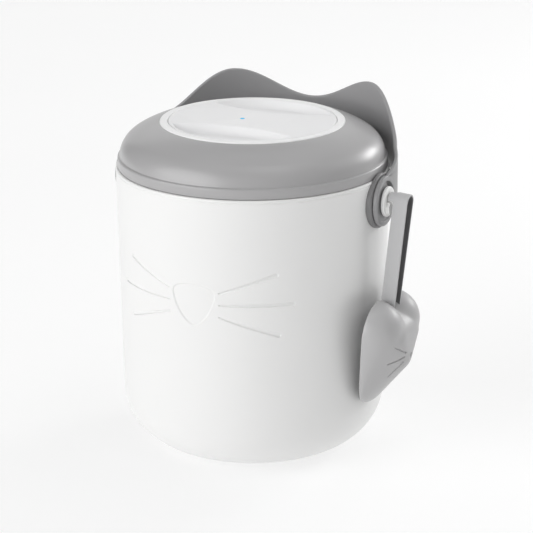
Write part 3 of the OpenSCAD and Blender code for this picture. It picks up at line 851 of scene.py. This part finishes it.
def make_hubs():
    hub_back, hub_face, hub_r = peg_low.x, peg_low.x + 2.7, peg_high.y
    bore_r, bore_end = 5.65, hub_back + 1.4
    bore = (bore_r, hub_back, 0), (bore_r, bore_end, 0), (0, bore_end, 0)
    face = [(hub_r, hub_face, 1.4), (hub_r, hub_back, 0.3)]
    cap = rounded([(0, hub_face, 0), (hub_r - 3.2, hub_face, 0.5),
                   (hub_r - 2.9, hub_face - 0.35, 0.2), (hub_r - 2.6, hub_face, 0.3), *face, *bore])
    left = shifted(lathe(cap, 96, "X"), (0, 0, PIVOT_Z), True)
    piece("hub_cap_soft", *left, "peg_white", ["hub_cap"])
    hub = lathe(rounded([(0, hub_face, 0), *face, *bore]), 96, "X")
    peg = lathe(rounded([(0, peg_high.x, 0), (PEG_R, peg_high.x, 0.9), (PEG_R, hub_face - 0.3, 0),
                         (0, hub_face - 0.3, 0)]), 72, "X")
    # the cradle's two grooves, as (distance out from the hub's face, depth)
    grooved = [(-0.2, 0), (0.5, 0), (0.65, 0.4), (0.95, 0.4), (1.1, 0), (1.5, 0), (1.65, 0.4),
               (1.95, 0.4), (2.1, 0), (2.6, 0), (2.9, 0.15), (3.0, 0.5)]
    rings = [[(hub_face + x, y, z) for y, z in cradle_outline(CRADLE_R - inset)]
             for x, inset in grooved]
    points, faces = loft(rings, closed=False)
    n = len(rings[0])
    faces += [list(range(n)), list(range(len(points) - n, len(points)))]
    whole = join(hub, shifted(peg, (0, 0, PEG_LIFT)), (points, faces))
    piece("hanger_peg_soft", *shifted(whole, (0, 0, PIVOT_Z)), "peg_white", ["hanger_peg"])


make_handle()
make_boss("boss_right", "pivot_boss_right", False)
make_boss("boss_left", "pivot_boss_left", True)
make_hubs()


# ---------------------------------------------------------------- strap and scoop

HANG = Vector((127.0, 0, PIVOT_Z + PEG_LIFT))
STRAP_LEAN, SWING, SCOOP_LEAN, SCOOP_ROLL = 4.8, 4.2, 7.4, 2.0
STRAP_X, STRAP_W, NECK_X, NECK_DROP = 131.9, 12.6, 126.5, 1.0
STRAP_T, LINING_T = 2.0, 0.7
STRAP_DROP = 97.3
LOOP_TOP_R, LOOP_LOW_R = 5.75, 4.5
SCOOP_AT = Vector((119.9, -9.2, 96.8))
SCOOP_WALL = 2.0


def turned(point, about, x_turn, y_turn):
    """The point turned about X and then about Y, round a place."""
    turn = Matrix.Rotation(radians(y_turn), 3, "Y") @ Matrix.Rotation(radians(x_turn), 3, "X")
    return tuple(about + turn @ (Vector(point) - about))


def make_band(name, start, end, neck_x, slot, node):
    """One layer of the strap, from one distance off the loop's inner face to another. Its crown
    reaches neck_x, and is as thick as the whole strap there."""
    tilt = asin((LOOP_TOP_R - LOOP_LOW_R) / STRAP_DROP)
    # each station: direction out of the loop, radius, height of the bend's middle
    stations = [(-pi / 2 + (pi / 2 + tilt) * (2 * k / 23 - 1), LOOP_LOW_R, -STRAP_DROP)
                for k in range(24)]
    up = [k / 30 for k in range(1, 30)]
    radius = LOOP_TOP_R - LOOP_LOW_R
    stations += [(tilt, LOOP_LOW_R + radius * s, -STRAP_DROP * (1 - s)) for s in up]
    stations += [(tilt + (pi - 2 * tilt) * k / 35, LOOP_TOP_R, 0) for k in range(36)]
    stations += [(pi - tilt, LOOP_LOW_R + radius * s, -STRAP_DROP * (1 - s)) for s in reversed(up)]
    rings = []
    for direction, radius, middle in stations:
        height = middle + radius * sin(direction)
        crown = smoothstep(0.2, 1.6, height)
        left = STRAP_X + (neck_x - STRAP_X) * crown
        ring = []
        for across, off in section_points(left, STRAP_X + STRAP_W, start, end):
            drop = NECK_DROP * crown * (1 - smoothstep(STRAP_X - 1.5, STRAP_X + 2.0, across))
            thicker = start * (1 - smoothstep(STRAP_X - 0.6, STRAP_X - 0.1, across))
            off -= thicker * (end - off) / (end - start)
            y, z = (radius + off) * cos(direction), middle + (radius + off) * sin(direction)
            ring.append(turned((across, y, HANG.z + z - drop), HANG, -SWING, STRAP_LEAN))
        rings.append(ring)
    piece(name, *loft(rings), slot, [node], sharp=50)


def section_points(x0, x1, start, end):
    """A rounded oblong: across the strap from x0 to x1, and out from its inner face."""
    r = 0.3 * (end - start)
    corners = rounded([(x0, start, r), (x1, start, r), (x1, end, r), (x0, end, r)], 3)
    n = len(corners) // 4
    section = []
    for side in range(4):
        corner = corners[side * n:(side + 1) * n]
        following = corners[((side + 1) * n) % len(corners)]
        section += corner
        count = (10, 1)[side % 2]
        for k in range(1, count):
            share = k / count
            section.append(tuple(a + (b - a) * share for a, b in zip(corner[-1], following)))
    return section


def egg(centre, radii, rows=40, columns=80):
    """Points all over an ellipsoid."""
    points = []
    for i in range(rows + 1):
        up = pi * i / rows
        for k in range(columns):
            a = 2 * pi * k / columns
            points.append((centre[0] + radii[0] * sin(up) * cos(a),
                           centre[1] + radii[1] * sin(up) * sin(a),
                           centre[2] + radii[2] * cos(up)))
    return points


def hull_tree(cloud):
    """The convex hull of points, as a tree for casting rays."""
    work = bmesh.new()
    for p in cloud:
        work.verts.new(p)
    bmesh.ops.convex_hull(work, input=work.verts[:])
    tree = BVHTree.FromBMesh(work)
    work.free()
    return tree


def heart_trees(inset):
    """The heart's three hulls: each lobe with the belly and the chin, and the core between."""
    belly = egg((0, 0, 3), (30.5 - inset, 25 - inset, 22 - inset))
    chin = egg((0, 0, -26), (9 - inset, 31 - inset, 19 - inset))
    lobes = [egg((0, side * 19, 27), (26 - inset, 24.5 - inset, 24.5 - inset)) for side in (-1, 1)]
    core_radii = (29 - inset, 23 - inset, 20 - inset)
    core = egg((0, -12, 22), core_radii) + egg((0, 12, 22), core_radii)
    return [hull_tree(lobe + belly + chin) for lobe in lobes] + [hull_tree(core + belly)]


SCOOP_NOSE = [(0, -0.4, 8.6), (3.6, 10.4, 8.6), (-3.6, 10.4, 8.6)]
SCOOP_WHISKERS = [((9.4, 10.2), (25, 17.9)), ((10.3, 6.5), (22.9, 0.5)),
                  ((10, 1.6), (15.6, -12.9))]


def scoop_cut(y, z):
    """Depth of the nose and whiskers in the scoop's belly."""
    depth = 0.9 * smoothstep(0, 0.8, -nose_distance(y, z, SCOOP_NOSE, 0.5))
    for near, far in SCOOP_WHISKERS:
        gap, along = segment_distance((abs(y), z), near, far)
        depth = max(depth, 1.1 * smoothstep(0, 0.6, 0.95 - 0.25 * along - gap))
    return depth


def heart_rings(inset, columns, rows, cut):
    """Rings from the open rim to the belly's pole, as local points, by rays from inside the heart."""
    trees = heart_trees(inset)
    origin = Vector((1, 0, 0))
    radius = np.zeros((rows, columns))
    way = np.zeros((rows, columns, 3))
    for i in range(rows):
        up = (pi / 2) * (i / rows) ** 0.9
        for k in range(columns):
            a = 2 * pi * k / columns
            d = Vector((sin(up), cos(up) * cos(a), cos(up) * sin(a)))
            radius[i, k] = max(tree.ray_cast(origin, d)[3] for tree in trees)
            way[i, k] = d
    # the creases between the hulls are softened by averaging each radius with its neighbours
    smooth = radius.copy()
    for _ in range(24):
        up = np.vstack([smooth[:1], smooth[:-1]])
        down = np.vstack([smooth[1:], smooth[-1:]])
        beside = np.roll(smooth, 1, 1) + np.roll(smooth, -1, 1)
        smooth = 0.4 * smooth + 0.15 * (beside + up + down)
    rings = []
    for i in range(rows):
        ring = []
        for k in range(columns):
            p = np.array([1, 0, 0]) + way[i, k] * smooth[i, k]
            if cut:
                p -= way[i, k] * scoop_cut(p[1], p[2])
            ring.append(p)
        rings.append(ring)
    return rings


def make_scoop():
    columns, rows = 300, 96
    outer = heart_rings(0, columns, rows, True)
    inner = heart_rings(SCOOP_WALL, columns, rows, False)
    lip = []
    for step in range(1, 6):
        a = pi * step / 6
        lip.append([(o * (1 + cos(a)) + i * (1 - cos(a))) / 2 - np.array([sin(a), 0, 0])
                    for o, i in zip(outer[0], inner[0])])
    rings = list(reversed(outer)) + lip + inner
    pole_out, pole_in = [(float(np.mean([p[0] for p in side[-1]])), 0, 0) for side in (outer, inner)]
    points, faces = loft([[tuple(p) for p in ring] for ring in rings], closed=False,
                         start_point=pole_out, end_point=pole_in)
    lean = Matrix.Rotation(radians(SCOOP_LEAN), 3, "Y")
    turn = lean @ Matrix.Rotation(radians(-SCOOP_ROLL), 3, "X")
    placed = [tuple(SCOOP_AT + turn @ Vector(p)) for p in points]
    piece("scoop_soft", placed, faces, "scoop_grey", ["scoop_bowl"], sharp=60)


make_band("strap_outer_soft", LINING_T, STRAP_T, NECK_X, "strap_grey", "strap_outer")
make_band("strap_lining_soft", 0.0, LINING_T, STRAP_X, "lining_dark", "strap_lining")
make_scoop()


# ---------------------------------------------------------------- other CAD nodes keep their shape

for part in frame["record"]["subparts"]:
    node = frame["nodes"][part["node"]]
    if not node.hide_render:
        node.data.materials.clear()
        node.data.materials.append(MATERIALS[part["material_slot"]])


# ---------------------------------------------------------------- floor and light


def make_floor():
    mesh = bpy.data.meshes.new("floor")
    half = 8.0
    mesh.from_pydata([(-half, -half, 0), (half, -half, 0), (half, half, 0), (-half, half, 0)], [],
                     [[0, 1, 2, 3]])
    n = Nodes("floor_pale")
    n.to_shader("Base Color", n.ramp(n.noise(2, 2), [(0.3, (0.395,) * 3), (0.7, (0.405,) * 3)]))
    n.shader.inputs["Emission Color"].default_value = (1, 1, 1, 1)
    n.shader.inputs["Emission Strength"].default_value = 0.60
    n.shader.inputs["Roughness"].default_value = 0.9
    n.shader.inputs["Specular IOR Level"].default_value = 0.1
    mesh.materials.append(n.material)
    floor = bpy.data.objects.new("floor", mesh)
    bpy.context.scene.collection.objects.link(floor)


make_floor()

world = bpy.data.worlds.new("studio")
bpy.context.scene.world = world
world.use_nodes = True
world.node_tree.nodes["Background"].inputs["Color"].default_value = (1, 1, 1, 1)
world.node_tree.nodes["Background"].inputs["Strength"].default_value = 0.94
# the surround is only seen, above the floor's edge: the lamps and the floor light the object
world.cycles_visibility.diffuse = False
world.cycles_visibility.glossy = False

add_soft_light("key_left", -60, 12, 2.70)
add_soft_light("fill_front", 0, 12, 0.30)
add_soft_light("fill_right", 120, 12, 0.48)
add_soft_light("fill_back", 180, 12, 0.60)
add_soft_light("top_right", 60, 45, 0.52)
add_soft_light("top_back_right", 120, 45, 0.52)
add_soft_light("top_back", 180, 45, 0.28)
add_soft_light("overhead", 0, 90, 0.48)
add_area_light("shoulder_glint", (0.93, 1.83, 0.82), (0.108, 0, 0.268), (0.75, 0.5), 11)
add_area_light("ceiling_patch", (0.30, -0.28, 1.0), (-0.04, 0.05, 0.28), (0.4, 0.4), 0.55)
add_area_light("front_strip", (-0.75, -2.35, 0.62), (0, -0.11, 0.26), (1.8, 0.08), 3)

bpy.context.scene.view_settings.view_transform = "Standard"
